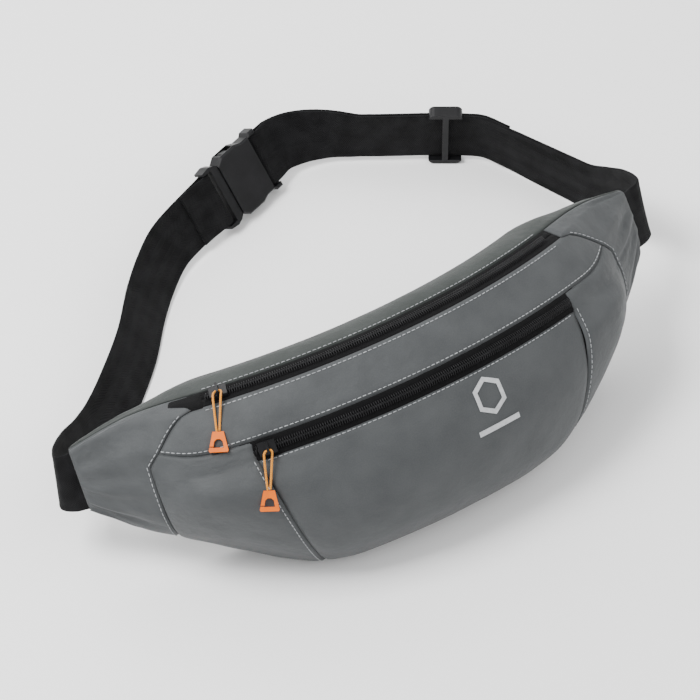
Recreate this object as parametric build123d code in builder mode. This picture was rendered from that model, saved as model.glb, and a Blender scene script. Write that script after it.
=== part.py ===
"""Waist bag on a webbing belt, lying on its back with the belt ring standing behind it."""

import os
from math import cos, pi, radians, sin, tan

from build123d import *

# ---- driving dimensions (millimetres, degrees) ----

# The bag is drawn in a frame leaned back from upright: x along the bag, u backward, v up the front.
LEAN = 35
BAG_X = -3.72
BAG_Y = -49.8
BAG_HEIGHT_ABOVE_FLOOR = 60.7
FABRIC = 1.2

# The pouch is curved about an axis parallel to v, this far behind the line between the wing ends.
RING_CENTRE = 210
POUCH_HALF_ANGLE = 26
BACK_RADIUS = 248
BOTTOM_HALF_WIDTH = 87
BOTTOM_LEVEL = -103
WING_SEAM_X = 158
WING_SEAM_U = -4
WING_TIP_X = 200
WING_TIP_U = 4
WING_ANGLE = 28
WING_TIP_BOTTOM = -22
POCKET_SEAM_TOP_X = 112
POCKET_SEAM_BOTTOM_X = 75
SEAM_LEVEL = -6
SEAM_GAP = 0.3

# A coil zip: its chain stands on two tapes that fill a slot between two panels.
SLOT_HALF_WIDTH = 6.3
TAPE_HALF_WIDTH = 6.1
TAPE_TOP = -0.6
TAPE = 0.6
CHAIN_HALF_WIDTH = 2.85
CHAIN_GAP = 0.7
CHAIN = 2.2

# Zip slider and its corded pull.
SLIDER_LENGTH = 11
SLIDER_HALF_WIDTH = 4.2
BRIDGE_WIDTH = 1.6
POST_LENGTH = 3.3
POST_FROM_MIDDLE = -3.85
CORD_DIAMETER = 1.4
TAG_THICKNESS = 1.6
CORD_CENTRE = (1.5, 4.2)
TAG_RISE = {"main_zip": -0.647, "front_zip": 0.03}

# Belt webbing and its fittings.
WEBBING_WIDTH = 38
WEBBING = 1.6
LAYER_OFFSET = 1.0
BUCKLE_WIDTH = 45
BUCKLE_THICKNESS = 10.6
BUCKLE_LEAN = 35
BUCKLE_HEADING = 19.5
BUCKLE_X = 22
BUCKLE_Y = 192
BUCKLE_Z = 21.8
BUCKLE_CHAMFER = 1.2
MOUTH_X = -9
MALE_BAR_X = -20
FEMALE_BAR_X = 26.25
BAR_HALF_LENGTH = 20.5
BAR_OFFSET = 3.1
GLIDE_LENGTH = 22
GLIDE_WIDTH = 45.4
GLIDE_FROM_BEND = 21
BAR_RADIUS = 1.9

# ---- frames ----

bag_up = Vector(0, sin(radians(LEAN)), cos(radians(LEAN)))
bag_back = Vector(0, cos(radians(LEAN)), -sin(radians(LEAN)))
bag_origin = Vector(BAG_X, BAG_Y, BAG_HEIGHT_ABOVE_FLOOR)
ring_origin = bag_origin + bag_back * RING_CENTRE
ring_axis = Axis(ring_origin, bag_up)
front_view = Plane(origin=bag_origin, x_dir=(1, 0, 0), z_dir=bag_back * -1)


def radial(angle):
    """Direction away from the ring's axis, turned to the right by angle."""
    return Vector(1, 0, 0) * sin(radians(angle)) - bag_back * cos(radians(angle))


def ring_section(angle):
    """Plane through the ring's axis: x is the radius, y is v."""
    return Plane(origin=ring_origin, x_dir=radial(angle), z_dir=radial(angle).cross(bag_up))


def wing_section(x, u, side):
    """Plane across a wing: x is the depth in front of the back panel, y is v."""
    out = radial(side * WING_ANGLE)
    origin = bag_origin + Vector(side * x, 0, 0) + bag_back * u
    return Plane(origin=origin, x_dir=out, z_dir=out.cross(bag_up))


# ---- the stuffed pouch: one outline at the middle, one at the wing seams, one at the wing tips ----

middle_outline = [
    (248, -100), (248, 33), (262, 34.5), (273.5, 31.5), (285.5, 25.5), (300.5, 0),
    (303.5, -12), (310, -35), (306.5, -62), (294, -86), (272, -102), (258, -103),
]
seam_outline = [
    (0, -70), (0, 28), (5, 30), (11, 30), (18, 26), (27, 10),
    (29, 0), (31, -14), (30, -30), (26, -48), (14, -62), (6, -70),
]
tip_outline = [
    (0, -34), (0, 22), (2, 23), (4, 23), (6.5, 21), (8.4, 12),
    (8.8, 6), (9, -2), (8.8, -10), (8, -20), (6, -30), (3, -34),
]


def stuffed(middle, seam, tip, tip_overrun=0):
    """Closed solid that follows the ring in the middle and narrows straight to the two wing tips."""
    with BuildPart() as body:
        with BuildSketch(ring_section(-POUCH_HALF_ANGLE)):
            Polygon(*middle, align=None)
        revolve(axis=ring_axis, revolution_arc=2 * POUCH_HALF_ANGLE)
        for side in (-1, 1):
            tip_x = WING_TIP_X + tip_overrun * cos(radians(WING_ANGLE))
            tip_u = WING_TIP_U + tip_overrun * sin(radians(WING_ANGLE))
            with BuildPart(mode=Mode.PRIVATE) as flank:
                with BuildSketch(ring_section(side * POUCH_HALF_ANGLE)):
                    Polygon(*middle, align=None)
                with BuildSketch(wing_section(WING_SEAM_X, WING_SEAM_U, side)):
                    Polygon(*seam, align=None)
                with BuildSketch(wing_section(tip_x, tip_u, side)):
                    Polygon(*tip, align=None)
                loft(ruled=True)
            add(flank.part)
    return body.part


def front_prism(corners):
    """Everything in front of and behind a polygon drawn in the front view."""
    with BuildPart() as prism:
        with BuildSketch(front_view):
            Polygon(*corners, align=None)
        extrude(amount=200, both=True)
    return prism.part


def trimmed(body, inset):
    """The body above the floor, its flat bottom and the two slopes that rise to the wing tips."""
    slope = (WING_TIP_BOTTOM - BOTTOM_LEVEL) / (WING_TIP_X - BOTTOM_HALF_WIDTH)
    bottom = BOTTOM_LEVEL + inset
    edge = inset * (1 + slope**2) ** 0.5 + slope * (240 - BOTTOM_HALF_WIDTH) + BOTTOM_LEVEL
    corner = BOTTOM_HALF_WIDTH - inset * 0.3
    outline = [(-240, 80), (-240, edge), (-corner, bottom), (corner, bottom), (240, edge), (240, 80)]
    with BuildPart() as above_floor:
        with BuildSketch(Plane.XY.offset(inset)):
            Rectangle(600, 600)
        extrude(amount=300)
    with BuildPart() as kept:
        add(body)
        add(front_prism(outline), mode=Mode.INTERSECT)
        add(above_floor.part, mode=Mode.INTERSECT)
    return kept.part


def inset_outline(points, inset):
    """The same clockwise outline moved inward by the fabric's thickness."""
    corners = [Vector(*point) for point in points]
    moved = []
    for before, here, after in zip(corners[-1:] + corners[:-1], corners, corners[1:] + corners[:1]):
        along_in = (here - before).normalized()
        along_out = (after - here).normalized()
        inward = Vector(along_in.Y + along_out.Y, -along_in.X - along_out.X)
        point = here + inward * (inset / (1 + along_in.dot(along_out)))
        moved.append((point.X, point.Y))
    return moved


inner_outlines = [inset_outline(points, FABRIC) for points in (middle_outline, seam_outline, tip_outline)]
with BuildPart() as cloth:
    add(trimmed(stuffed(middle_outline, seam_outline, tip_outline), 0))
    add(trimmed(stuffed(*inner_outlines, tip_overrun=3), FABRIC), mode=Mode.SUBTRACT)


# ---- zips: frames, slots, tapes and chains ----


class ZipLine:
    """A zip that runs round the ring: centre (radius, v), slope of its face and half its arc."""

    def __init__(self, radius, level, face_angle, half_angle, slider_angle):
        self.centre = Vector(radius, level)
        self.down = Vector(cos(radians(face_angle)), -sin(radians(face_angle)))
        self.out = Vector(sin(radians(face_angle)), cos(radians(face_angle)))
        self.half_angle = half_angle
        self.slider_angle = slider_angle

    def at(self, across, above):
        """Point of the ring section, from distances down across the zip and out of its face."""
        point = self.centre + self.down * across + self.out * above
        return (point.X, point.Y)

    def corners(self, across, above):
        """Rectangle in the ring section, from its two ranges across and above."""
        (near, far), (low, high) = across, above
        return [self.at(near, low), self.at(far, low), self.at(far, high), self.at(near, high)]

    def bar(self, across, above):
        """Solid of rectangular section across x above, swept round the ring over the zip's arc."""
        with BuildPart() as swept:
            with BuildSketch(ring_section(-self.half_angle)):
                Polygon(*self.corners(across, above), align=None)
            revolve(axis=ring_axis, revolution_arc=2 * self.half_angle)
        return swept.part


main_zip = ZipLine(279.5, 28.5, 26.6, 26, -24.2)
front_zip = ZipLine(302, -6, 76, 22, -20.6)

with BuildPart() as front_cloth:
    add(cloth.part)
    for line in (main_zip, front_zip):
        add(line.bar((-SLOT_HALF_WIDTH, SLOT_HALF_WIDTH), (-6, 6)), mode=Mode.SUBTRACT)

back_face = BACK_RADIUS + FABRIC
back_middle = [(236, -115), (236, 60), (264, 60), (264, 29), (back_face, 29), (back_face, -115)]
back_seam = [(-12, -100), (-12, 60), (5, 60), (5, 25), (FABRIC, 25), (FABRIC, -100)]
back_tip = [(-12, -80), (-12, 60), (2, 60), (2, 20), (FABRIC, 20), (FABRIC, -80)]
back_region = stuffed(back_middle, back_seam, back_tip, tip_overrun=2)


def panel(body, region, keep_back=False):
    """The piece of cloth inside a region of the front view, behind or in front of the back seam."""
    with BuildPart() as piece:
        add(body)
        add(back_region, mode=Mode.INTERSECT if keep_back else Mode.SUBTRACT)
        add(front_prism(region), mode=Mode.INTERSECT)
    return piece


def seam_x(level):
    """Half width of the front pocket at a level of the front view."""
    share = (SEAM_LEVEL - level) / (SEAM_LEVEL - BOTTOM_LEVEL)
    return POCKET_SEAM_TOP_X - share * (POCKET_SEAM_TOP_X - POCKET_SEAM_BOTTOM_X)


everything = [(-230, -130), (230, -130), (230, 70), (-230, 70)]
low, high = -130, 70
below, above = SEAM_LEVEL - SEAM_GAP / 2, SEAM_LEVEL + SEAM_GAP / 2
seam_in, seam_out = WING_SEAM_X - SEAM_GAP / 2, WING_SEAM_X + SEAM_GAP / 2
pocket_top = seam_x(below) - SEAM_GAP / 2
pocket_foot = seam_x(low) - SEAM_GAP / 2

back_panel = panel(front_cloth.part, everything, keep_back=True)
top_front_panel = panel(
    front_cloth.part, [(-seam_in, above), (seam_in, above), (seam_in, high), (-seam_in, high)]
)
front_pocket_panel = panel(
    front_cloth.part, [(-pocket_foot, low), (pocket_foot, low), (pocket_top, below), (-pocket_top, below)]
)
side_panels = {}
wings = {}
for side, name in ((-1, "left"), (1, "right")):
    side_region = [
        (side * (pocket_foot + SEAM_GAP), low), (side * seam_in, low),
        (side * seam_in, below), (side * (pocket_top + SEAM_GAP), below),
    ]
    wing_region = [(side * seam_out, low), (side * 230, low), (side * 230, high), (side * seam_out, high)]
    side_panels[name] = panel(front_cloth.part, side_region)
    wings[name] = panel(front_cloth.part, wing_region)

with BuildPart() as pocket_divider:
    with BuildSketch(ring_section(-20)):
        Polygon((289, -78), (290, -78), (294, -10), (293, -10), align=None)
    revolve(axis=ring_axis, revolution_arc=40)


# ---- zip tapes, chains, sliders and pulls ----


def zip_tape(line, side):
    """Woven tape from beside the chain's middle to the edge of the slot."""
    inner, outer = sorted((side * 0.4, side * TAPE_HALF_WIDTH))
    return line.bar((inner, outer), (TAPE_TOP - TAPE, TAPE_TOP))


def zip_chain(line, side):
    """One half of the coil, sewn on top of its tape."""
    inner, outer = sorted((side * CHAIN_GAP / 2, side * CHAIN_HALF_WIDTH))
    return line.bar((inner, outer), (TAPE_TOP, TAPE_TOP + CHAIN))


def zip_slider(line):
    """Two plates joined by a post between the chain halves, with a bridge that holds the cord."""
    outer = SLIDER_HALF_WIDTH
    bars = [
        ((-outer, outer), (1.9, 3.0), SLIDER_LENGTH),
        ((-outer, -3.2), (0.0, 2.2), SLIDER_LENGTH),
        ((3.2, outer), (0.0, 2.2), SLIDER_LENGTH),
        ((-outer, outer), (-2.6, -1.5), SLIDER_LENGTH),
        ((-3.9, -2.9), (2.7, 5.9), BRIDGE_WIDTH),
        ((2.9, 3.9), (2.7, 5.9), BRIDGE_WIDTH),
        ((-3.9, 3.9), (5.2, 6.2), BRIDGE_WIDTH),
    ]
    with BuildPart() as slider:
        for across, above, length in bars:
            with BuildSketch(ring_section(line.slider_angle)):
                Polygon(*line.corners(across, above), align=None)
            extrude(amount=length / 2, both=True)
        with BuildSketch(ring_section(line.slider_angle).offset(POST_FROM_MIDDLE)):
            Polygon(*line.corners((-0.15, 0.15), (-1.8, 2.2)), align=None)
        extrude(amount=POST_LENGTH / 2, both=True)
    return slider.part


def zip_point(line, along, across, above):
    """Point near a zip's slider: along to the right, across down the zip, above its face."""
    radius, level = line.at(across, above)
    section = ring_section(line.slider_angle)
    return section.from_local_coords((radius, level, 0)) - section.z_dir * along


def pull_route(line, strand):
    """Up the left strand, under the slider's bridge and down the right strand."""
    left = [zip_point(line, shift - half, across, above) for across, above, half, shift in strand]
    right = [zip_point(line, shift + half, across, above) for across, above, half, shift in strand]
    return left + right[::-1]


def corner_radii(points):
    """0.45 of the shorter run at each corner, divided by the tangent of half the turn."""
    radii = []
    for before, here, after in zip(points, points[1:], points[2:]):
        turn = (here - before).get_angle(after - here)
        shorter = min((here - before).length, (after - here).length)
        radii.append(0.45 * shorter / tan(radians(turn / 2)))
    return radii


def pull_cord(name, route):
    """Round cord along the route, with its corner radii and its length printed."""
    radii = corner_radii(route)
    with BuildPart() as cord:
        with BuildLine() as path:
            FilletPolyline(*route, radius=radii)
        with BuildSketch(Plane(origin=route[0], z_dir=route[1] - route[0])):
            Circle(CORD_DIAMETER / 2)
        sweep(path=path.line)
    length = path.wire().length
    expected = length * pi * CORD_DIAMETER**2 / 4
    print(name, "radii", [round(radius, 1) for radius in radii], "length", round(length, 1))
    print(name, "volume", round(cord.part.volume, 1), "section times length", round(expected, 1))
    return cord.part


def pull_tag(line, strand, tag_rise):
    """Flat moulded tag with a D-shaped eye and a slit, hanging on from the ends of the cord."""
    across, above, half, shift = strand[0]
    top = zip_point(line, shift, across, above)
    lean_x = strand[0][3] - strand[1][3]
    lean_y = strand[0][0] - strand[1][0]
    ahead = zip_point(line, shift + lean_x, across + lean_y, above + tag_rise * lean_y)
    down = (ahead - top).normalized()
    tangent = zip_point(line, 1, 0, 0) - zip_point(line, 0, 0, 0)
    out = down.cross(tangent).normalized()
    with BuildPart() as tag:
        with BuildSketch(Plane(origin=top + down * 0.4, x_dir=out.cross(down), z_dir=out)):
            Polygon(
                (-3.4, 0), (3.4, 0), (6, -11.6), (5.4, -12.6), (-5.4, -12.6), (-6, -11.6), align=None
            )
            with BuildSketch(mode=Mode.SUBTRACT):
                Polygon(
                    (-3.2, -9.9), (3.2, -9.9), (2.6, -6), (1, -4.6), (-1, -4.6), (-2.6, -6), align=None
                )
            with BuildSketch(mode=Mode.SUBTRACT):
                Polygon((-8, -9.0), (-2.8, -9.0), (-2.8, -9.6), (-8, -9.6), align=None)
        extrude(amount=TAG_THICKNESS / 2, both=True)
    return tag.part


# Strand places, from the tag up to the bridge: (across, above, half spacing, shift to the right).
main_strand = [
    (22.1, -8.3, 0.9, -6.3), (13.9, -2.6, 1.7, -3.8), (6.3, 4.0, 2.5, -1.2), (*CORD_CENTRE, 2.6, 0),
]
front_strand = [
    (24.5, 2.2, 0.9, -7.0), (15.5, 3.0, 1.7, -4.3), (6.3, 4.2, 2.5, -1.5), (*CORD_CENTRE, 2.6, 0),
]


# ---- belt ----

# Middle line of the belt from each wing to the buckle: (x, y behind the wing line, z, outward lean).
left_stations = [
    (-190.6, -3.3, 63.1, -31), (-201.2, 1.3, 59.9, -31), (-206.2, 3.5, 58.4, -28), (-211, 7.4, 57, -12),
    (-210, 12.5, 55, 4), (-205, 18.5, 51.5, 14), (-188, 33, 39, 26), (-168, 48, 25.5, 34),
    (-147, 65, 17.2, 38), (-123, 86, 16.1, 38), (-99.4, 109, 16.1, 38), (-77, 136, 16.4, 38),
    (-58, 155, 17.6, 37), (-40, 168.4, 19.8, 36),
]
right_stations = [
    (191.4, -4.5, 63.9, -31), (202, 0.1, 60.7, -31), (210, 3.6, 58.3, -31), (216, 6.8, 56.9, -22),
    (219.8, 12, 55, -8), (221, 19, 52, 0), (220.8, 30, 45.5, 4), (219.5, 45, 34.5, 6),
    (216.5, 62, 24.6, 6), (210, 84, 20.4, 5), (200, 107, 19.8, 3), (190, 126.5, 21, 0),
    (178, 143.5, 22.9, 0), (112, 184, 22.9, 0), (98, 194.5, 22.7, 8), (84, 202, 22.3, 18),
    (71, 205.6, 22, 28),
]
TAIL_STATION = 11


def belt_planes(stations, outward_side):
    """Planes across the webbing: x towards its inner face, z along its heading."""
    points = [Vector(x + BAG_X, y + BAG_Y, z) for x, y, z, lean in stations]
    planes = []
    for index, station in enumerate(stations):
        before = points[max(index - 1, 0)]
        after = points[min(index + 1, len(points) - 1)]
        heading = (after - before).normalized()
        outward = heading.cross(Vector(0, 0, 1)).normalized() * outward_side
        lean = radians(station[3])
        upright = Vector(0, 0, 1) * cos(lean) + outward * sin(lean)
        inner_face = heading.cross(upright) * -outward_side
        planes.append(Plane(origin=points[index], x_dir=inner_face, z_dir=heading))
    return planes


def layer(planes, distance):
    """The same planes moved towards the belt's inner face."""
    return [Plane(origin=p.origin + p.x_dir * distance, x_dir=p.x_dir, z_dir=p.z_dir) for p in planes]


def turned_back(planes):
    """The planes in the opposite order, for webbing that runs back along itself."""
    return [Plane(origin=p.origin, x_dir=p.x_dir * -1, z_dir=p.z_dir * -1) for p in reversed(planes)]


buckle_heading = Vector(cos(radians(BUCKLE_HEADING)), sin(radians(BUCKLE_HEADING)), 0)
buckle_outward = Vector(-buckle_heading.Y, buckle_heading.X, 0)
buckle_up = buckle_outward * sin(radians(BUCKLE_LEAN)) + Vector(0, 0, cos(radians(BUCKLE_LEAN)))
buckle_origin = Vector(BUCKLE_X + BAG_X, BUCKLE_Y + BAG_Y, BUCKLE_Z)
buckle_plane = Plane(origin=buckle_origin, x_dir=buckle_heading, z_dir=buckle_heading.cross(buckle_up))


def buckle_crossing(along, depth, heading, turn):
    """Plane across the webbing inside the buckle, turned round the bar from its first heading."""
    inner = buckle_plane.z_dir * cos(radians(turn)) - buckle_plane.x_dir * sin(radians(turn))
    ahead = inner.cross(buckle_plane.y_dir) * heading
    origin = buckle_plane.from_local_coords((along, 0, depth))
    return Plane(origin=origin, x_dir=inner, z_dir=ahead * -1)


def bar_loop(bar_x, side):
    """Webbing planes that come up to a buckle bar, go round it and come back on the other face."""
    approach = [(16, LAYER_OFFSET), (8, 1.9)]
    come = [buckle_crossing(bar_x - side * gap, -side * depth, side, 0) for gap, depth in approach]
    turn = []
    for angle in range(0, 181, 30):
        along = bar_x + side * BAR_OFFSET * sin(radians(angle))
        turn.append(buckle_crossing(along, -side * BAR_OFFSET * cos(radians(angle)), side, angle))
    back = [buckle_crossing(bar_x - side * gap, side * depth, side, 180) for gap, depth in reversed(approach)]
    return come + turn + back


def webbing_band(planes):
    """Flat webbing through its cross planes."""
    with BuildPart() as band:
        for plane in planes:
            with BuildSketch(plane):
                Rectangle(WEBBING, WEBBING_WIDTH)
        loft(ruled=True)
    return band.part


left_layer = layer(belt_planes(left_stations, -1), -LAYER_OFFSET)
left_end = [buckle_crossing(-44, LAYER_OFFSET, 1, 180)]
right_planes = belt_planes(right_stations, 1)
right_run = layer(right_planes, LAYER_OFFSET)
right_return = turned_back(layer(right_planes[TAIL_STATION:], -LAYER_OFFSET))
with BuildPart() as left_webbing:
    add(webbing_band(left_layer + bar_loop(MALE_BAR_X, 1) + left_end))
with BuildPart() as right_webbing:
    add(webbing_band(right_run + bar_loop(FEMALE_BAR_X, -1) + right_return))


# ---- side-release buckle: x along the belt towards the female half, y across it ----

mouth_plane = Plane(
    buckle_plane.from_local_coords((MOUTH_X, 0, 0)), x_dir=buckle_plane.y_dir, z_dir=buckle_heading
)


def bar_plane(along):
    """Plane across one of the buckle's webbing bars, at the middle of the bar."""
    middle = buckle_plane.from_local_coords((along, 0, 0))
    return Plane(middle, x_dir=buckle_heading, z_dir=buckle_plane.y_dir)


def on_a_buckle_face(edge):
    """True for an edge in the buckle's flat front or back face."""
    return abs((edge.center() - buckle_origin).dot(buckle_plane.z_dir)) > BUCKLE_THICKNESS / 2 - 0.1


with BuildPart() as buckle_female:
    with BuildSketch(buckle_plane):
        with BuildLine():
            Polyline(
                (MOUTH_X, -19), (MOUTH_X, 19), (-4, 22.5), (10, 22.5), (15, 20.5), (21.6, 20.5),
                (23.5, 22.5), (29, 22.5), (29, -22.5), (23.5, -22.5), (21.6, -20.5), (15, -20.5),
                (10, -22.5), (-4, -22.5), close=True,
            )
        make_face()
    extrude(amount=BUCKLE_THICKNESS / 2, both=True)
    rims = buckle_female.edges().filter_by(GeomType.LINE).filter_by(on_a_buckle_face)
    chamfer(rims.sort_by(Axis(buckle_origin, buckle_heading))[1:-1], BUCKLE_CHAMFER)
    with BuildSketch(mouth_plane):
        Rectangle(36, 5.8)
    extrude(amount=27, mode=Mode.SUBTRACT)
    with BuildSketch(buckle_plane):
        for side in (-1, 1):
            with Locations((3, side * 19.5)):
                RectangleRounded(12, 9, 2.5)
    extrude(amount=3.5, both=True, mode=Mode.SUBTRACT)
    with BuildSketch(buckle_plane):
        with Locations((25.5, 0)):
            Rectangle(7.8, 39.4)
    extrude(amount=BUCKLE_THICKNESS, both=True, mode=Mode.SUBTRACT)
    with BuildSketch(bar_plane(FEMALE_BAR_X)):
        Circle(BAR_RADIUS)
    extrude(amount=BAR_HALF_LENGTH, both=True)

with BuildPart() as buckle_male:
    with BuildSketch(buckle_plane):
        Polygon(
            (-22.5, -21.5), (-22.5, 21.5), (-16, 22.5), (-12, 21), (MOUTH_X - 0.4, 19), (MOUTH_X - 0.4, -19),
            (-12, -21), (-16, -22.5), align=None,
        )
    extrude(amount=4.2, both=True)
    with BuildSketch(buckle_plane):
        with Locations((-19.5, 0)):
            Rectangle(8, 39.4)
    extrude(amount=BUCKLE_THICKNESS, both=True, mode=Mode.SUBTRACT)
    with BuildSketch(bar_plane(MALE_BAR_X)):
        Circle(BAR_RADIUS)
    extrude(amount=BAR_HALF_LENGTH, both=True)
    with BuildSketch(buckle_plane):
        Polygon((-10, -3), (12, -3), (14, -1.5), (14, 1.5), (12, 3), (-10, 3), align=None)
    extrude(amount=2.2, both=True)

prongs = {}
for side, name in ((1, "upper"), (-1, "lower")):
    with BuildPart() as prong:
        with BuildSketch(buckle_plane):
            Polygon(
                (MOUTH_X, side * 12.5), (MOUTH_X, side * 14.5), (-2.6, side * 15), (-2.6, side * 21.2),
                (0, side * 22.2), (5, side * 21.6), (8.5, side * 17.6), (10, side * 14.5), (10, side * 12.5),
                align=None,
            )
        extrude(amount=2.4, both=True)
    prongs[name] = prong


# ---- strap slider: two rails, two bars behind the webbing and one raised bar in front of it ----

glide_heading = (right_planes[13].origin - right_planes[12].origin).normalized() * -1
glide_origin = right_planes[12].origin - glide_heading * GLIDE_FROM_BEND
glide_plane = Plane(origin=glide_origin, x_dir=glide_heading, z_dir=glide_heading.cross(Vector(0, 0, 1)))
with BuildPart() as strap_slider:
    with BuildSketch(glide_plane.offset(-4.6)):
        RectangleRounded(GLIDE_LENGTH, GLIDE_WIDTH, 4)
        Rectangle(17, 39.2, mode=Mode.SUBTRACT)
    extrude(amount=2.4)
    with BuildSketch(glide_plane.offset(-4.6)):
        RectangleRounded(GLIDE_LENGTH, GLIDE_WIDTH, 4)
        Rectangle(GLIDE_LENGTH + 1, 39.2, mode=Mode.SUBTRACT)
    extrude(amount=8.8)
    with BuildSketch(glide_plane.offset(2.2)):
        Rectangle(4, 40)
    extrude(amount=2.0)


# ---- the finished pieces ----

pieces = {
    "back_panel": back_panel.part,
    "top_front_panel": top_front_panel.part,
    "front_pocket_panel": front_pocket_panel.part,
    "pocket_divider": pocket_divider.part,
    "left_side_panel": side_panels["left"].part,
    "right_side_panel": side_panels["right"].part,
    "left_wing": wings["left"].part,
    "right_wing": wings["right"].part,
    "left_webbing": left_webbing.part,
    "right_webbing": right_webbing.part,
    "buckle_male": buckle_male.part,
    "buckle_prong_upper": prongs["upper"].part,
    "buckle_prong_lower": prongs["lower"].part,
    "buckle_female": buckle_female.part,
    "strap_slider": strap_slider.part,
}
for name, line, strand in (("main_zip", main_zip, main_strand), ("front_zip", front_zip, front_strand)):
    route = pull_route(line, strand)
    pieces[name + "_tape_upper"] = zip_tape(line, -1)
    pieces[name + "_tape_lower"] = zip_tape(line, 1)
    pieces[name + "_chain_upper"] = zip_chain(line, -1)
    pieces[name + "_chain_lower"] = zip_chain(line, 1)
    pieces[name + "_slider"] = zip_slider(line)
    pieces[name + "_pull_cord"] = pull_cord(name, route)
    pieces[name + "_pull_tag"] = pull_tag(line, strand, TAG_RISE[name])
    axis_point = zip_point(line, 0, *CORD_CENTRE)
    print(name, "pull axis at", axis_point, "along", zip_point(line, 1, *CORD_CENTRE) - axis_point)

os.makedirs("parts", exist_ok=True)
for name, piece in pieces.items():
    piece.label = name
    export_step(piece, f"parts/{name}.step")

print("ring axis at", ring_origin, "along", bag_up)
print("buckle at", buckle_origin, "heading", buckle_heading, "thickness", buckle_plane.z_dir)
for side in (1, -1):
    print("prong pivot", buckle_plane.from_local_coords((MOUTH_X, side * 13.5, 0)))
print("strap slider at", glide_origin, "heading", glide_heading)
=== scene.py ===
"""A grey waist bag with two curved zips and a black webbing belt, dressed over its CAD frame."""

from math import cos, degrees, exp, log, pi, radians, sin

import bpy
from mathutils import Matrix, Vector, noise


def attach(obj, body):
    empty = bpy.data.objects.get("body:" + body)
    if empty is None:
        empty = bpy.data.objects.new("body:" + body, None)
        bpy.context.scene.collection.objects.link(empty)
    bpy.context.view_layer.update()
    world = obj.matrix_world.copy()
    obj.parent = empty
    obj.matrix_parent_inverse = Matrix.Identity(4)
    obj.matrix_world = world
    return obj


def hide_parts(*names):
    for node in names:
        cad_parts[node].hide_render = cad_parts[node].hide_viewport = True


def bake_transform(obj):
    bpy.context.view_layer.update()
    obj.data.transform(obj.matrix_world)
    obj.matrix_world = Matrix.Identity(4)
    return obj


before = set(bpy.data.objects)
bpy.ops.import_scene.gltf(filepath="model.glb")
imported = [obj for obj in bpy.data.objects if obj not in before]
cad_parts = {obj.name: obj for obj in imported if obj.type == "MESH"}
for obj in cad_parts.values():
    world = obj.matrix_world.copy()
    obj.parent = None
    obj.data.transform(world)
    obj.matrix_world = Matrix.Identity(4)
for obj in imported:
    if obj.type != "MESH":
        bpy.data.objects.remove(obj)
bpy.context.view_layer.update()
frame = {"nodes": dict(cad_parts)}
MM = 0.001

# ---- the bag's own frame: x along it, back behind it, up its leaned front (as in the CAD model) ----

LEAN = radians(35)
UP = Vector((0, sin(LEAN), cos(LEAN)))
BACK = Vector((0, cos(LEAN), -sin(LEAN)))
ORIGIN = Vector((-3.72, -49.8, 60.7))
RING = ORIGIN + BACK * 210
WING_ANGLE = 28
WING_SEAM_PLACE = (158, -4)
WING_TIP_PLACE = (200, 4)
ZIP_END = 26
WING_SEAM = 40
TIP = 52

# Outline of the stuffed pouch, clockwise from the top of the back: (distance, level).
MIDDLE = [
    (248, 33), (262, 34.5), (273.5, 31.5), (285.5, 25.5), (300.5, 0), (303.5, -12),
    (310, -35), (306.5, -62), (294, -86), (272, -101), (258, -103), (248, -100),
]
SEAM = [
    (0, 28), (5, 30), (11, 30), (18, 26), (27, 10), (30, -6),
    (30.5, -18), (28, -31), (22, -42), (12, -50), (5, -52), (0, -51),
]
TIP_OUTLINE = [
    (1, 21), (2.2, 22), (4, 21.8), (6, 20), (7, 11), (7.2, 4),
    (7.2, -2), (7, -8), (6.4, -14), (5, -19), (3, -21), (1, -20.5),
]
POINTS = len(MIDDLE)


def radial(angle):
    return Vector((1, 0, 0)) * sin(radians(angle)) - BACK * cos(radians(angle))


def ring_point(angle, radius, level):
    return RING + radial(angle) * radius + UP * level


def wing_point(x, u, side, depth, level):
    """Place on a wing section x out along the bag and u behind its origin."""
    out = radial(side * WING_ANGLE)
    return ORIGIN + Vector((side * x, 0, 0)) + BACK * u + out * depth + UP * level


def softly_above(value, floor, width):
    """value where it is well above floor, rounding off to floor below it."""
    step = (value - floor) / width
    return floor + width * (log(1 + exp(step)) if step < 30 else step)


def raised(x, level):
    """Level of an outline point after the bottom edge has risen towards the wing."""
    if level > -12:
        return level
    bottom = -103 + 0.717 * softly_above(abs(x) - 87, 0, 9)
    return -12 + (level + 12) * (bottom + 12) / -91


def outline_point(outline, t):
    """Place on a closed outline: straight beside the zips, a smooth curve elsewhere."""
    index = int(t) % POINTS
    share = t - int(t)
    here, after = outline[index], outline[(index + 1) % POINTS]
    if index in (2, 3, 4, 11):
        return [a + (b - a) * share for a, b in zip(here, after)]
    before = outline[index - 1] if index not in (0, 5) else here
    beyond = outline[(index + 2) % POINTS] if index not in (1, 10) else after
    result = []
    for p, a, b, q in zip(before, here, after, beyond):
        first, last = (b - p) / 2, (q - a) / 2
        result.append(
            a + first * share + (3 * (b - a) - 2 * first - last) * share**2
            + (2 * (a - b) + first + last) * share**3
        )
    return result


def on_ring(s, t):
    radius, level = outline_point(MIDDLE, t)
    return ring_point(s, radius, raised(radius * sin(radians(s)), level))


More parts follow.
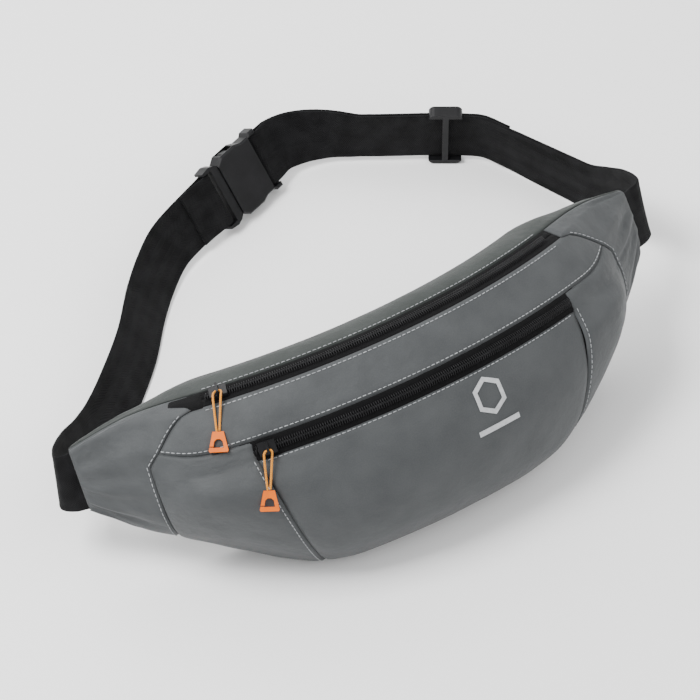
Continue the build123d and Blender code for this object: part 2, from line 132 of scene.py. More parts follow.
def pouch(s, t):
    """Smooth surface of the bag: s runs from wing tip to wing tip, t round the outline (in mm)."""
    side = 1 if s > 0 else -1
    a = abs(s)
    if a <= ZIP_END:
        point = on_ring(s, t)
    else:
        start = on_ring(side * ZIP_END, t)
        start_slope = (start - on_ring(side * (ZIP_END - 1), t)) * (WING_SEAM - ZIP_END)
        seam = wing_point(*WING_SEAM_PLACE, side, *outline_point(SEAM, t))
        tip = wing_point(*WING_TIP_PLACE, side, *outline_point(TIP_OUTLINE, t))
        seam_slope = (tip - start) * ((WING_SEAM - ZIP_END) / (TIP - ZIP_END))
        if a <= WING_SEAM:
            share = (a - ZIP_END) / (WING_SEAM - ZIP_END)
            first, last, p, q = start_slope, seam_slope, start, seam
        else:
            share = (a - WING_SEAM) / (TIP - WING_SEAM)
            ratio = (TIP - WING_SEAM) / (WING_SEAM - ZIP_END)
            first, last, p, q = seam_slope * ratio, tip - seam, seam, tip
        point = (
            p + first * share + (3 * (q - p) - 2 * first - last) * share**2
            + (2 * (p - q) + first + last) * share**3
        )
    return point


def pouch_normal(s, t):
    """Outward direction of the pouch's surface."""
    along = pouch(s + 0.2, t) - pouch(s - 0.2, t)
    across = pouch(s, t + 0.02) - pouch(s, t - 0.02)
    return across.cross(along).normalized()


# ---- camera, floor and light ----


def add_camera():
    camera = bpy.data.objects.new("camera", bpy.data.cameras.new("camera"))
    bpy.context.collection.objects.link(camera)
    azimuth, elevation, distance = radians(-31.7), radians(49.7), 3.0
    back = Vector((sin(azimuth) * cos(elevation), -cos(azimuth) * cos(elevation), sin(elevation)))
    target = Vector((-0.0101, -0.0459, 0.059))
    camera.location = target + back * distance
    camera.rotation_euler = back.to_track_quat("Z", "Y").to_euler()
    camera.data.sensor_width = 36
    camera.data.lens = 248
    camera.data.clip_end = 20
    bpy.context.scene.camera = camera


def add_stage():
    bpy.ops.mesh.primitive_plane_add(size=8, location=(0, 0, -0.0005))
    floor = bpy.context.object
    floor.name = "floor"
    floor.data.materials.append(plain_floor())
    world = bpy.data.worlds.new("studio")
    world.use_nodes = True
    world.node_tree.nodes["Background"].inputs["Color"].default_value = (1, 1, 1, 1)
    world.node_tree.nodes["Background"].inputs["Strength"].default_value = 1.15
    bpy.context.scene.world = world
    for name, place, size, power in (
        ("key", (-0.9, 0.3, 1.6), 0.8, 46),
        ("fill", (1.2, -1.0, 1.2), 1.4, 8),
        ("rim", (0.1, 1.3, 1.1), 1.0, 12),
    ):
        light = bpy.data.objects.new(name, bpy.data.lights.new(name, "AREA"))
        light.data.size = size
        light.data.energy = power
        light.location = place
        light.rotation_euler = (Vector(place) - Vector((0, 0, 0.05))).to_track_quat("Z", "Y").to_euler()
        bpy.context.collection.objects.link(light)


# ---- materials ----


def new_material(name, roughness, sheen=0.0, specular=0.3):
    material = bpy.data.materials.new(name)
    material.use_nodes = True
    shader = material.node_tree.nodes["Principled BSDF"]
    shader.inputs["Roughness"].default_value = roughness
    shader.inputs["Specular IOR Level"].default_value = specular
    shader.inputs["Sheen Weight"].default_value = sheen
    shader.inputs["Sheen Roughness"].default_value = 0.5
    return material, material.node_tree, shader


def noise_node(tree, scale, detail=3.0, vector=None):
    node = tree.nodes.new("ShaderNodeTexNoise")
    node.inputs["Scale"].default_value = scale
    node.inputs["Detail"].default_value = detail
    if vector:
        tree.links.new(vector, node.inputs["Vector"])
    return node.outputs["Fac"]


def wave_node(tree, scale, vector, direction="X"):
    node = tree.nodes.new("ShaderNodeTexWave")
    node.bands_direction = direction
    node.inputs["Scale"].default_value = scale
    tree.links.new(vector, node.inputs["Vector"])
    return node.outputs["Fac"]


def maths(tree, operation, first, second):
    node = tree.nodes.new("ShaderNodeMath")
    node.operation = operation
    for socket, value in zip(node.inputs, (first, second)):
        if isinstance(value, (int, float)):
            socket.default_value = value
        else:
            tree.links.new(value, socket)
    return node.outputs[0]


def ramp(tree, factor, dark, light, low=0.3, high=0.7):
    node = tree.nodes.new("ShaderNodeValToRGB")
    node.color_ramp.elements[0].position = low
    node.color_ramp.elements[0].color = (*dark, 1)
    node.color_ramp.elements[1].position = high
    node.color_ramp.elements[1].color = (*light, 1)
    tree.links.new(factor, node.inputs["Fac"])
    return node.outputs["Color"]


def bump(tree, shader, height, distance, strength=0.6):
    node = tree.nodes.new("ShaderNodeBump")
    node.inputs["Strength"].default_value = strength
    node.inputs["Distance"].default_value = distance
    tree.links.new(height, node.inputs["Height"])
    tree.links.new(node.outputs["Normal"], shader.inputs["Normal"])


def uv_scaled(tree, scale=1.0):
    """The piece's UV map, which is in millimetres, times a scale."""
    coordinates = tree.nodes.new("ShaderNodeTexCoord").outputs["UV"]
    mapping = tree.nodes.new("ShaderNodeVectorMath")
    mapping.operation = "SCALE"
    mapping.inputs["Scale"].default_value = scale
    tree.links.new(coordinates, mapping.inputs[0])
    return mapping.outputs[0]


def cloth_material(name, dark, light, roughness=0.62, sheen=0.05):
    """Coated plain-weave polyester: threads 0.5 mm apart, soft mottling and fine wrinkles."""
    material, tree, shader = new_material(name, roughness, sheen)
    uv = uv_scaled(tree)
    weave = maths(tree, "MULTIPLY", wave_node(tree, 0.62, uv, "X"), wave_node(tree, 0.62, uv, "Y"))
    mottle = noise_node(tree, 0.05, 4, uv)
    fleck = noise_node(tree, 1.3, 2, uv)
    mixed = maths(tree, "ADD", maths(tree, "MULTIPLY", mottle, 0.6), maths(tree, "MULTIPLY", fleck, 0.4))
    tree.links.new(ramp(tree, mixed, dark, light), shader.inputs["Base Color"])
    wide = noise_node(tree, 0.035, 5, uv)
    narrow = noise_node(tree, 0.13, 4, uv)
    crease = maths(tree, "ADD", wide, maths(tree, "MULTIPLY", narrow, 0.35))
    height = maths(tree, "ADD", maths(tree, "MULTIPLY", weave, 0.05), maths(tree, "MULTIPLY", crease, 2.0))
    bump(tree, shader, height, 0.0016, 0.5)
    return material


def webbing_material():
    """Black polyester webbing: a herringbone twill of 1.2 mm ribs with a plain bound edge."""
    material, tree, shader = new_material("webbing_black", 0.85, 0.02, 0.12)
    uv = tree.nodes.new("ShaderNodeTexCoord").outputs["UV"]
    split = tree.nodes.new("ShaderNodeSeparateXYZ")
    tree.links.new(uv, split.inputs[0])
    folded = maths(tree, "PINGPONG", split.outputs[1], 4.75)
    diagonal = maths(tree, "ADD", split.outputs[0], folded)
    twill = maths(tree, "SINE", maths(tree, "MULTIPLY", diagonal, 2 * pi / 1.5), 0)
    cross = maths(tree, "SINE", maths(tree, "MULTIPLY", split.outputs[1], 2 * pi / 0.8), 0)
    height = maths(tree, "ADD", maths(tree, "MULTIPLY", twill, 0.5), maths(tree, "MULTIPLY", cross, 0.2))
    # Base colour: painted shade, darker in the twill's grooves and lighter on the rib tops (from the rib
    # height), plus random tone from noise.
    painted_rib_shade_and_tone = maths(tree, "ADD", maths(tree, "MULTIPLY", height, 0.25), noise_node(tree, 0.08, 3, uv))
    colour = ramp(tree, painted_rib_shade_and_tone, (0.0015, 0.0015, 0.0018), (0.009, 0.009, 0.0098))
    tree.links.new(colour, shader.inputs["Base Color"])
    bump(tree, shader, height, 0.0005, 0.6)
    return material


def tape_material():
    """Black woven zip tape with fine ribs along it."""
    material, tree, shader = new_material("zip_tape_black", 0.85, 0.02, 0.12)
    uv = uv_scaled(tree)
    ribs = wave_node(tree, 0.5, uv, "Y")
    cross = wave_node(tree, 0.9, uv, "X")
    height = maths(tree, "ADD", ribs, maths(tree, "MULTIPLY", cross, 0.4))
    # Base colour is painted rib shade: darker in the grooves between the ribs, lighter on their tops, taken
    # from the rib height.
    colour = ramp(tree, height, (0.0012, 0.0012, 0.0014), (0.005, 0.005, 0.0055))
    tree.links.new(colour, shader.inputs["Base Color"])
    bump(tree, shader, height, 0.0003, 0.7)
    return material


def object_noise(tree, scale, detail=3.0):
    coordinates = tree.nodes.new("ShaderNodeTexCoord").outputs["Object"]
    return noise_node(tree, scale, detail, coordinates)


def plastic_material(name, dark, light, roughness, grain=2500, depth=0.0001):
    """Moulded plastic with a fine spark-eroded grain and faint handling marks."""
    material, tree, shader = new_material(name, roughness, 0.0, 0.22)
    tree.links.new(ramp(tree, object_noise(tree, 90, 4), dark, light), shader.inputs["Base Color"])
    worn = tree.nodes.new("ShaderNodeMapRange")
    worn.inputs["To Min"].default_value = roughness - 0.08
    worn.inputs["To Max"].default_value = roughness + 0.12
    tree.links.new(object_noise(tree, 240, 5), worn.inputs["Value"])
    tree.links.new(worn.outputs["Result"], shader.inputs["Roughness"])
    bump(tree, shader, object_noise(tree, grain, 2), depth, 0.4)
    return material


def cord_material():
    """Braided orange cord: crossing strands 1.4 mm long."""
    material, tree, shader = new_material("cord_orange", 0.55, 0.3, 0.3)
    coordinates = tree.nodes.new("ShaderNodeTexCoord").outputs["Object"]
    strands = wave_node(tree, 330, coordinates, "DIAGONAL")
    braid = maths(tree, "ADD", strands, noise_node(tree, 900, 2, coordinates))
    # Base colour from the braid height: painted shade, darker between the strands and lighter on their tops,
    # plus random tone from noise.
    colour = ramp(tree, braid, (0.4, 0.13, 0.0), (0.62, 0.23, 0.002), 0.2, 1.2)
    tree.links.new(colour, shader.inputs["Base Color"])
    bump(tree, shader, braid, 0.0002, 0.6)
    return material


def thread_material():
    """Pale grey sewing thread."""
    material, tree, shader = new_material("thread_grey", 0.6, 0.2, 0.3)
    colour = ramp(tree, object_noise(tree, 400, 2), (0.2, 0.21, 0.22), (0.34, 0.35, 0.36))
    tree.links.new(colour, shader.inputs["Base Color"])
    return material


def plain_floor():
    material, tree, shader = new_material("pale_floor", 0.9, 0.0, 0.1)
    tint = ramp(tree, object_noise(tree, 3, 2), (0.93, 0.93, 0.93), (0.95, 0.95, 0.95))
    tree.links.new(tint, shader.inputs["Base Color"])
    return material


grey_cloth = cloth_material("cloth_grey", (0.036, 0.039, 0.041), (0.055, 0.059, 0.061))
back_cloth = cloth_material("cloth_dark", (0.019, 0.023, 0.021), (0.031, 0.036, 0.034))
webbing_black = webbing_material()
tape_black = tape_material()
coil_black = plastic_material("coil_black", (0.003, 0.003, 0.0035), (0.009, 0.009, 0.01), 0.4)
buckle_black = plastic_material("buckle_black", (0.003, 0.003, 0.0036), (0.007, 0.007, 0.008), 0.42)
enamel_black = plastic_material("enamel_black", (0.003, 0.003, 0.0035), (0.007, 0.007, 0.008), 0.3)
cord_orange = cord_material()
tag_orange = plastic_material("tag_orange", (0.6, 0.105, 0.0), (0.7, 0.14, 0.0), 0.5)
thread_grey = thread_material()
print_grey, print_tree, print_shader = new_material("print_grey", 0.5, 0.0, 0.3)
print_tree.links.new(
    ramp(print_tree, object_noise(print_tree, 500, 3), (0.36, 0.37, 0.38), (0.46, 0.47, 0.48)),
    print_shader.inputs["Base Color"],
)


# ---- mesh helpers ----


def add_piece(name, vertices, faces, material, uvs=None, smooth=True):
    """Mesh object from points in metres; uvs holds one pair for each vertex."""
    mesh = bpy.data.meshes.new(name)
    mesh.from_pydata([tuple(v) for v in vertices], [], faces)
    if uvs:
        layer = mesh.uv_layers.new(name="millimetres")
        for loop in mesh.loops:
            layer.data[loop.index].uv = uvs[loop.vertex_index]
    for polygon in mesh.polygons:
        polygon.use_smooth = smooth
    piece = bpy.data.objects.new(name, mesh)
    bpy.context.collection.objects.link(piece)
    piece.data.materials.append(material)
    return piece


def thicken(piece, thickness, offset=-1):
    modifier = piece.modifiers.new("thickness", "SOLIDIFY")
    modifier.thickness = thickness
    modifier.offset = offset


def steps(start, end, spacing):
    """Evenly spaced values from start to end, no more than spacing apart."""
    count = max(1, int(abs(end - start) / spacing + 0.999))
    return [start + (end - start) * i / count for i in range(count + 1)]


# ---- cloth panels: patches of the pouch between seams ----

COLUMN_STEP = 0.55
SEAM_PINCH = 1.1
CLOTH_THICKNESS = 0.9
SEAM_MARGIN = 0.5


def pocket_seam(t):
    """Half width of the front pocket in s, from the front zip's end to the bottom."""
    return 22 if t <= 5 else 22 - 5.6 * ((t - 5) / 6) ** 1.15


def wing_seam(t):
    """Wing seam in s: from the main zip's end it curves out and down."""
    if t <= 3:
        return ZIP_END + 2
    return ZIP_END + 2 + (WING_SEAM - ZIP_END - 3.5) * min(1, (t - 3) / 1.6) ** 0.6


def wrinkles(s, t):
    """How far the stuffed cloth stands off its smooth shape, in mm."""
    side = 1 if s > 0 else -1
    a = abs(s)
    soft = noise.noise(Vector((s * 0.09, t * 0.55, side * 3.1))) * 2.2
    fine = noise.noise(Vector((s * 0.3, t * 1.7, 7.7))) * 0.45
    gather = max(0.0, (a - 34) / 18)
    folds = sin(t * 4.3 + s * 0.22 + side) * 1.5 * gather + sin(t * 7.9 - s * 0.1) * 0.4 * gather
    crease = -1.6 * exp(-(((t - 5.3 - 0.02 * (a - 40)) / 0.16) ** 2)) * exp(-(((s - 43) / 6) ** 2))
    return soft + fine + folds * 0.9 + crease


class Panel:
    """One cloth panel: its two side seams as s(t), its range of t and how far it is stuffed out."""

    def __init__(self, name, left, right, t_range, puff, unit=24, rise=9, dip=0.0):
        self.name, self.left, self.right = name, left, right
        self.t_range, self.puff, self.unit, self.rise = t_range, puff, unit, rise
        self.dip = dip

    def surface(self, s, t, above=0.0):
        """Point on the cloth's outside, pinched in at the seams, in metres."""
        a, b = self.left(t), self.right(t)
        edge_s = max(0, min(s - a, b - s)) * 4.6
        edge_t = max(0, min(t - self.t_range[0], self.t_range[1] - t)) * self.unit
        crown = (1 - exp(-edge_s / 9)) * (1 - exp(-((edge_t / self.rise) ** 2)))
        pinch = SEAM_PINCH * exp(-((min(edge_s, edge_t) / 1.6) ** 2))
        flattened = self.dip * exp(-(((edge_t - 24) / 15) ** 2))
        stand = (self.puff + wrinkles(s, t)) * crown - pinch - flattened + above
        point = pouch(s, t) + pouch_normal(s, t) * stand
        point.z = softly_above(point.z, 0.9, 0.8)
        return point * MM

    def build(self, material, nodes=()):
        rows = steps(*self.t_range, 3 / self.unit)
        widest = max(self.right(t) - self.left(t) for t in rows)
        count = max(3, int(widest / COLUMN_STEP))
        vertices, uvs, faces = [], [], []
        for t in rows:
            a, b = self.left(t), self.right(t)
            for i in range(count + 1):
                s = a + (b - a) * i / count
                vertices.append(self.surface(s, t))
                uvs.append((s * 5.0, -t * self.unit))
        width = count + 1
        for j in range(len(rows) - 1):
            for i in range(count):
                corner = j * width + i
                faces.append((corner, corner + width, corner + width + 1, corner + 1))
        piece = add_piece(self.name, vertices, faces, material, uvs)
        thicken(piece, CLOTH_THICKNESS * MM)
        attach(piece, "bag")
        if nodes:
            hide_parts(*nodes)
        return piece

    def stitches(self, name, route, length=2.6, pitch=3.4):
        """Row of thread stitches along route, a list of (s, t), lying just above the cloth."""
        points = [self.surface(s, t, 0.15) for s, t in route]
        vertices, faces = [], []
        carried = 0.0
        for (p, q), (here, there) in zip(zip(points, points[1:]), zip(route, route[1:])):
            run = (q - p).length
            at = -carried
            while at < run:
                if at >= 0:
                    share = at / run
                    centre = p.lerp(q, share)
                    s = here[0] + (there[0] - here[0]) * share
                    t = here[1] + (there[1] - here[1]) * share
                    add_stitch(vertices, faces, centre, (q - p).normalized(), pouch_normal(s, t), length)
                at += pitch * MM
            carried = run - (at - pitch * MM)
        piece = add_piece(name, vertices, faces, thread_grey)
        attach(piece, "bag")
        return piece


def add_stitch(vertices, faces, centre, along, out, length):
    """A six-sided thread, thinner and lower at its two ends."""
    across = out.cross(along).normalized()
    base = len(vertices)
    for place, size, lift in ((-0.5, 0.35, -0.15), (-0.3, 1, 0.1), (0.3, 1, 0.1), (0.5, 0.35, -0.15)):
        ring_centre = centre + along * (place * length * MM) + out * (lift * MM)
        for k in range(6):
            turn = k * pi / 3
            vertices.append(ring_centre + (across * cos(turn) * 0.3 + out * sin(turn) * 0.22) * (size * MM))
    for ring in range(3):
        for k in range(6):
            a = base + ring * 6 + k
            b = base + ring * 6 + (k + 1) % 6
            faces.append((a, b, b + 6, a + 6))
    faces.append(tuple(base + k for k in reversed(range(6))))
    faces.append(tuple(base + 18 + k for k in range(6)))


def constant(value):
    return lambda t: value


def build_cloth():
    top_front = Panel("top_front_cloth", lambda t: -wing_seam(t), wing_seam, (3, 4), 0.6, 29)
    pocket = Panel(
        "front_pocket_cloth", lambda t: -pocket_seam(t), pocket_seam, (5, 11), 1.2, rise=55, dip=1.5
    )
    strip = Panel("back_strip_cloth", constant(-TIP), constant(TIP), (12, 14), 0.4, 13)
    back = Panel("back_cloth", constant(-TIP), constant(TIP), (11, 12), 0.0, 133)
    left_side = Panel("left_side_cloth", lambda t: -wing_seam(t), lambda t: -pocket_seam(t), (4, 11), 1.0)
    right_side = Panel("right_side_cloth", pocket_seam, wing_seam, (4, 11), 1.0)
    left_wing = Panel("left_wing_cloth", constant(-TIP), lambda t: -wing_seam(t), (2, 11), 0.9)
    right_wing = Panel("right_wing_cloth", wing_seam, constant(TIP), (2, 11), 0.9)
    tape_end = Panel("main_zip_tape_end_fold", constant(-33), constant(-26.2), (1.95, 3.1), 2.2, 14)
    tape_end.build(tape_black)
    top_front.build(grey_cloth, ["top_front_panel"])
    pocket.build(grey_cloth, ["front_pocket_panel"])
    back.build(back_cloth, ["back_panel"])
    strip.build(back_cloth)
    left_side.build(grey_cloth, ["left_side_panel"])
    right_side.build(grey_cloth, ["right_side_panel"])
    left_wing.build(grey_cloth, ["left_wing"])
    right_wing.build(grey_cloth, ["right_wing"])

    across = steps(-ZIP_END, ZIP_END, 1)
    top_front.stitches("stitches_below_main_zip", [(s, 3.09) for s in across])
    full = steps(-wing_seam(3.9) + 0.5, wing_seam(3.9) - 0.5, 1)
    top_front.stitches("stitches_above_front_zip", [(s, 3.92) for s in full])
    pocket.stitches("stitches_below_front_zip", [(s, 5.1) for s in steps(-21.4, 21.4, 1)])
    strip.stitches("stitches_above_main_zip", [(s, 13.82) for s in across])
    flanks = ((-1, left_wing, left_side, "left"), (1, right_wing, right_side, "right"))
    for side, wing, flank, name in flanks:
        pocket_edge = [
            (side * (pocket_seam(t) + SEAM_MARGIN), t) for t in steps(4.2, 10.6, 0.1) if t > 5
        ]
        wing_edge = [(side * (wing_seam(t) + SEAM_MARGIN), t) for t in steps(3.1, 10.6, 0.1)]
        flank.stitches(name + "_pocket_seam_stitches", pocket_edge)
        wing.stitches(name + "_wing_seam_stitches", wing_edge)
    return pocket


# ---- zips ----

COIL_PITCH = 1.52


class Zip:
    """Curved coil zip: centre of its section (distance, level), slope of its face and half its arc."""

    def __init__(self, name, distance, level, face_angle, half_angle, slider_angle):
        self.name, self.distance, self.level = name, distance, level
        self.down = (cos(radians(face_angle)), -sin(radians(face_angle)))
        self.out = (sin(radians(face_angle)), cos(radians(face_angle)))
        self.half_angle, self.slider_angle = half_angle, slider_angle

    def point(self, angle, across, above):
        """Place on the zip in metres; across runs down the front, above out of the zip's face."""
        distance = self.distance + self.down[0] * across + self.out[0] * above
        level = self.level + self.down[1] * across + self.out[1] * above
        return ring_point(angle, distance, level) * MM

    def near_slider(self, along, across, above):
        """Place beside the slider at rest, with along in mm to the right."""
        a = radians(self.slider_angle)
        right = Vector((1, 0, 0)) * cos(a) + BACK * sin(a)
        return self.point(self.slider_angle, across, above) + right * (along * MM)

    def build_tape(self, side, node):
        profile = [(0.25, -0.75), (2.6, -0.85), (3.6, -1.0), (5.2, -1.0), (7.4, -1.7)]
        vertices, uvs, faces = [], [], []
        angles = steps(-self.half_angle - 1.6, self.half_angle + 1.6, 0.6)
        for angle in angles:
            for across, above in profile:
                ripple = 0.12 * noise.noise(Vector((angle * 0.9, across, side * 4.0)))
                vertices.append(self.point(angle, side * across, above + ripple))
                uvs.append((radians(angle) * self.distance, across))
        width = len(profile)
        for j in range(len(angles) - 1):
            for i in range(width - 1):
                a = j * width + i
                faces.append((a, a + 1, a + width + 1, a + width))
        piece = add_piece(node + "_woven", vertices, faces, tape_black, uvs)
        thicken(piece, 0.5 * MM, 0)
        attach(piece, "bag")
        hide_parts(node)

    def build_chain(self, side, node):
        """Half of the coil: one rounded tooth each pitch, hooked past the middle of the zip."""
        step = degrees(COIL_PITCH / self.distance)
        count = int(2 * self.half_angle / step)
        places = [(2.85, -0.35, 0.5), (2.7, 0.5, 0.75), (1.9, 1.05, 0.9), (0.3, 1.15, 1.0), (-0.75, 0.7, 0.8)]
        vertices, faces = [], []
        for index in range(count):
            angle = -self.half_angle + step * (index + (0.25 if side > 0 else 0.75))
            base = len(vertices)
            for across, above, size in places:
                for k in range(6):
                    turn = k * pi / 3
                    swing = degrees(0.37 * size * cos(turn) / self.distance)
                    vertices.append(self.point(angle + swing, side * across, above + 0.4 * size * sin(turn)))
            for ring in range(len(places) - 1):
                for k in range(6):
                    a, b = base + ring * 6 + k, base + ring * 6 + (k + 1) % 6
                    faces.append((a, b, b + 6, a + 6))
            last = base + (len(places) - 1) * 6
            faces.append(tuple(base + k for k in reversed(range(6))))
            faces.append(tuple(last + k for k in range(6)))
        piece = add_piece(node + "_coil", vertices, faces, coil_black)
        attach(piece, "bag")
        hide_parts(node)

    def build(self):
        for side, place in ((-1, "upper"), (1, "lower")):
            self.build_tape(side, f"{self.name}_tape_{place}")
            self.build_chain(side, f"{self.name}_chain_{place}")


main_zip = Zip("main_zip", 279.5, 28.5, 26.6, 26, -24.2)
front_zip = Zip("front_zip", 302, -6, 76, 22, -20.6)

# Pull strands from the tag up to the bridge: (across, above, half spacing, shift to the right), in mm.
MAIN_STRAND = [(22.1, -8.3, 0.9, -6.3), (13.9, -2.6, 1.7, -3.8), (6.3, 4.0, 2.5, -1.2), (1.5, 4.2, 2.6, 0)]
FRONT_STRAND = [(24.5, 2.2, 0.9, -7.0), (15.5, 3.0, 1.7, -4.3), (6.3, 4.2, 2.5, -1.5), (1.5, 4.2, 2.6, 0)]


def build_pull(zip_line, strand):
    """Orange cord looped under the slider's bridge, with both ends in the tag."""
    left = [zip_line.near_slider(shift - half, across, above) for across, above, half, shift in strand]
    right = [zip_line.near_slider(shift + half, across, above) for across, above, half, shift in strand]
    route = left + right[::-1]
    name = zip_line.name + "_pull_cord"
    curve = bpy.data.curves.new(name + "_braid", "CURVE")
    curve.dimensions = "3D"
    spline = curve.splines.new("NURBS")
    spline.points.add(len(route) - 1)
    for point, place in zip(spline.points, route):
        point.co = (*place, 1)
    spline.order_u = 3
    spline.use_endpoint_u = True
    curve.bevel_depth = 0.7 * MM
    curve.bevel_resolution = 4
    curve.resolution_u = 24
    cord = bpy.data.objects.new(name + "_braid", curve)
    bpy.context.collection.objects.link(cord)
    cord.data.materials.append(cord_orange)
    tag = frame["nodes"][zip_line.name + "_pull_tag"]
    dress(tag, tag_orange, 0.35)
    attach(cord, zip_line.name + "_pull")
    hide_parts(name)
    tuple(zip_line.near_slider(0, 1.5, 4.2))


def dress(node, material, bevel_mm):
    """Material and softly rounded edges for a CAD node whose shape is right."""
    for material_slot in node.material_slots:
        material_slot.material = material
    rounding = node.modifiers.new("rounding", "BEVEL")
    rounding.width = bevel_mm * MM
    rounding.segments = 3
    rounding.limit_method = "ANGLE"
    rounding.angle_limit = radians(35)
    rounding.harden_normals = False


# ---- belt ----

LEFT_STATIONS = [
    (-190.6, -3.3, 63.1, -31), (-201.2, 1.3, 59.9, -31), (-206.2, 3.5, 58.4, -28), (-211, 7.4, 57, -12),
    (-210, 12.5, 55, 4), (-205, 18.5, 51.5, 14), (-188, 33, 39, 26), (-168, 48, 25.5, 34),
    (-147, 65, 17.2, 38), (-123, 86, 16.1, 38), (-99.4, 109, 16.1, 38), (-77, 136, 16.4, 38),
    (-58, 155, 17.6, 37), (-40, 168.4, 19.8, 36),
]
RIGHT_STATIONS = [
    (191.4, -4.5, 63.9, -31), (202, 0.1, 60.7, -31), (210, 3.6, 58.3, -31), (216, 6.8, 56.9, -22),
    (219.8, 12, 55, -8), (221, 19, 52, 0), (220.8, 30, 45.5, 4), (219.5, 45, 34.5, 6),
    (216.5, 62, 24.6, 6), (210, 84, 20.4, 5), (200, 107, 19.8, 3), (190, 126.5, 21, 0),
    (178, 143.5, 22.9, 0), (112, 184, 22.9, 0), (98, 194.5, 22.7, 8), (84, 202, 22.3, 18),
    (71, 205.6, 22, 28),
]
TAIL_STATION = 11
LAYER = 1.0
BAR_OFFSET = 3.1
MALE_BAR = -20
FEMALE_BAR = 26.25
BUCKLE_HEADING = Vector((cos(radians(19.5)), sin(radians(19.5)), 0))
BUCKLE_UP = (
    Vector((-BUCKLE_HEADING.y, BUCKLE_HEADING.x, 0)) * sin(radians(35)) + Vector((0, 0, cos(radians(35))))
)
BUCKLE_FACE = BUCKLE_HEADING.cross(BUCKLE_UP)
BUCKLE_ORIGIN = Vector((22, 192, 21.8)) + Vector((ORIGIN.x, ORIGIN.y, 0))


def belt_frames(stations, outward_side, shift):
    """(place, inner face, width direction) at each station, moved shift towards the inner face."""
    points = [Vector((x + ORIGIN.x, y + ORIGIN.y, z)) for x, y, z, lean in stations]
    frames = []
    for index, station in enumerate(stations):
        before, after = points[max(index - 1, 0)], points[min(index + 1, len(points) - 1)]
        heading = (after - before).normalized()
        outward = heading.cross(Vector((0, 0, 1))).normalized() * outward_side
        lean = radians(station[3])
        upright = Vector((0, 0, cos(lean))) + outward * sin(lean)
        inner = (heading.cross(upright) * -outward_side).normalized()
        across = heading.cross(inner) * outward_side
        frames.append((points[index] + inner * shift, inner, across))
    return frames


def buckle_frame(along, depth, turn):
    """Belt frame inside the buckle, turned round its bar."""
    inner = BUCKLE_FACE * cos(radians(turn)) - BUCKLE_HEADING * sin(radians(turn))
    return (BUCKLE_ORIGIN + BUCKLE_HEADING * along + BUCKLE_FACE * depth, inner, BUCKLE_UP)


def bar_loop(bar, side):
    """Webbing that comes up to a buckle bar, goes round it and comes back on the other face."""
    frames = [buckle_frame(bar - side * gap, -side * depth, 0) for gap, depth in ((16, LAYER), (8, 1.9))]
    for angle in range(0, 181, 30):
        along = bar + side * BAR_OFFSET * sin(radians(angle))
        frames.append(buckle_frame(along, -side * BAR_OFFSET * cos(radians(angle)), angle))
    frames += [buckle_frame(bar - side * gap, side * depth, 180) for gap, depth in ((8, 1.9), (16, LAYER))]
    return frames


def smoothed(frames, parts=6):
    """More frames between the given ones, on a curve through them."""
    result = []
    for i in range(len(frames) - 1):
        p, a = frames[max(i - 1, 0)], frames[i]
        b, q = frames[i + 1], frames[min(i + 2, len(frames) - 1)]
        for k in range(parts):
            share = k / parts
            first, last = (b[0] - p[0]) / 2, (q[0] - a[0]) / 2
            limit = (b[0] - a[0]).length
            first, last = first.normalized() * limit, last.normalized() * limit
            place = (
                a[0] + first * share + (3 * (b[0] - a[0]) - 2 * first - last) * share**2
                + (2 * (a[0] - b[0]) + first + last) * share**3
            )
            result.append((place, a[1].lerp(b[1], share).normalized(), a[2].lerp(b[2], share).normalized()))
    result.append(frames[-1])
    return result


def build_webbing(name, frames):
    """Flat woven band, 38 mm by 1.5 mm, with slightly thicker rounded edges."""
    half, thick = 19.0, 0.72
    section = [
        (-half, 0), (-half + 0.3, thick * 0.9), (-half + 1.6, thick), (-half + 2.4, thick * 0.82),
        (-half / 2, thick * 0.85), (0, thick * 0.85), (half / 2, thick * 0.85),
        (half - 2.4, thick * 0.82), (half - 1.6, thick), (half - 0.3, thick * 0.9), (half, 0),
    ]
    section += [(w, -d) for w, d in reversed(section[1:-1])]
    vertices, uvs, faces = [], [], []
    travelled = 0.0
    for index, (place, inner, across) in enumerate(frames):
        if index:
            travelled += (place - frames[index - 1][0]).length
        for width, depth in section:
            vertices.append((place + across * width + inner * depth) * MM)
            uvs.append((travelled, width + half))
    count = len(section)
    for j in range(len(frames) - 1):
        for k in range(count):
            a, b = j * count + k, j * count + (k + 1) % count
            faces.append((a, b, b + count, a + count))
    faces.append(tuple(reversed(range(count))))
    faces.append(tuple((len(frames) - 1) * count + k for k in range(count)))
    piece = add_piece(name + "_woven", vertices, faces, webbing_black, uvs)
    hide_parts(name)
    return piece


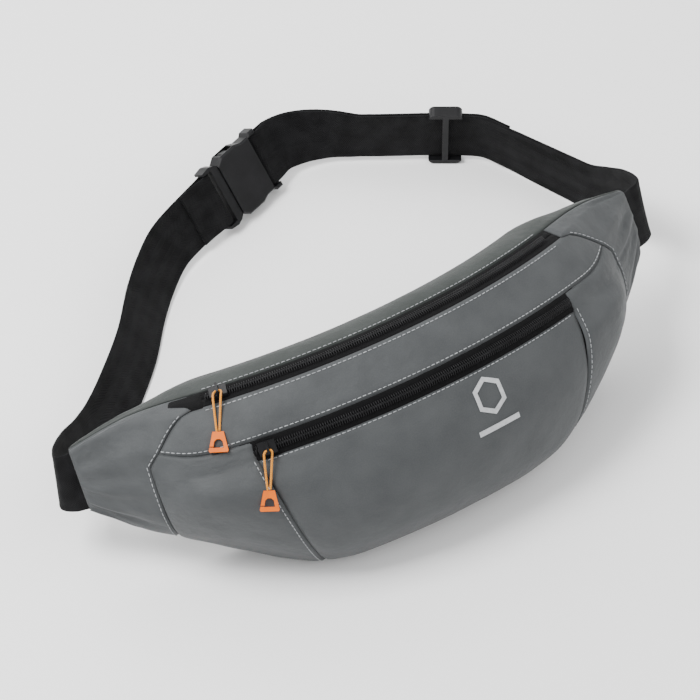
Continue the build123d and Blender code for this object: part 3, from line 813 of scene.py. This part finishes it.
def build_belt():
    left = belt_frames(LEFT_STATIONS, -1, -LAYER)
    left = smoothed(left + bar_loop(MALE_BAR, 1) + [buckle_frame(-44, LAYER, 180)])
    webbing = build_webbing("left_webbing", left)
    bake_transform(webbing)
    run = belt_frames(RIGHT_STATIONS, 1, LAYER)
    back = belt_frames(RIGHT_STATIONS, 1, -LAYER)[TAIL_STATION:]
    back = [(place, inner * -1, across) for place, inner, across in reversed(back)]
    right = smoothed(run + bar_loop(FEMALE_BAR, -1) + back)
    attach(build_webbing("right_webbing", right), "bag")


def build_hardware():
    nodes = frame["nodes"]
    for name in ("buckle_male", "buckle_female", "buckle_prong_upper", "buckle_prong_lower"):
        dress(nodes[name], buckle_black, 0.7)
    dress(nodes["strap_slider"], buckle_black, 0.7)
    dress(nodes["main_zip_slider"], enamel_black, 0.25)
    dress(nodes["front_zip_slider"], enamel_black, 0.25)
    for material_slot in nodes["pocket_divider"].material_slots:
        material_slot.material = back_cloth


def build_mark(pocket):
    """A plain pale print: a hexagon ring over a short bar."""
    def place(x, y):
        return pocket.surface(MARK_S + x / 5.3, MARK_T - y / pocket.unit, 0.35)

    vertices, faces = [], []
    for side in range(6):
        a, b = radians(60 * side + 30), radians(60 * side + 90)
        for k in range(8):
            share = k / 8
            for reach in (11.5, 8.3):
                x = reach * (cos(a) * (1 - share) + cos(b) * share)
                y = reach * (sin(a) * (1 - share) + sin(b) * share)
                vertices.append(place(x, y + 8))
    ring = len(vertices)
    for k in range(0, ring, 2):
        faces.append((k, (k + 2) % ring, (k + 3) % ring, k + 1))
    for y in (-8.5, -11.5):
        for k in range(21):
            vertices.append(place(-15 + 1.5 * k, y))
    for k in range(20):
        faces.append((ring + k, ring + 21 + k, ring + 22 + k, ring + k + 1))
    piece = add_piece("printed_mark", vertices, faces, print_grey)
    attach(piece, "bag")


MARK_S = 6.0
MARK_T = 6.1

add_camera()
add_stage()
build_pull(main_zip, MAIN_STRAND)
build_pull(front_zip, FRONT_STRAND)
pocket_cloth = build_cloth()
main_zip.build()
front_zip.build()
build_belt()
build_hardware()
build_mark(pocket_cloth)

bpy.context.view_layer.update()
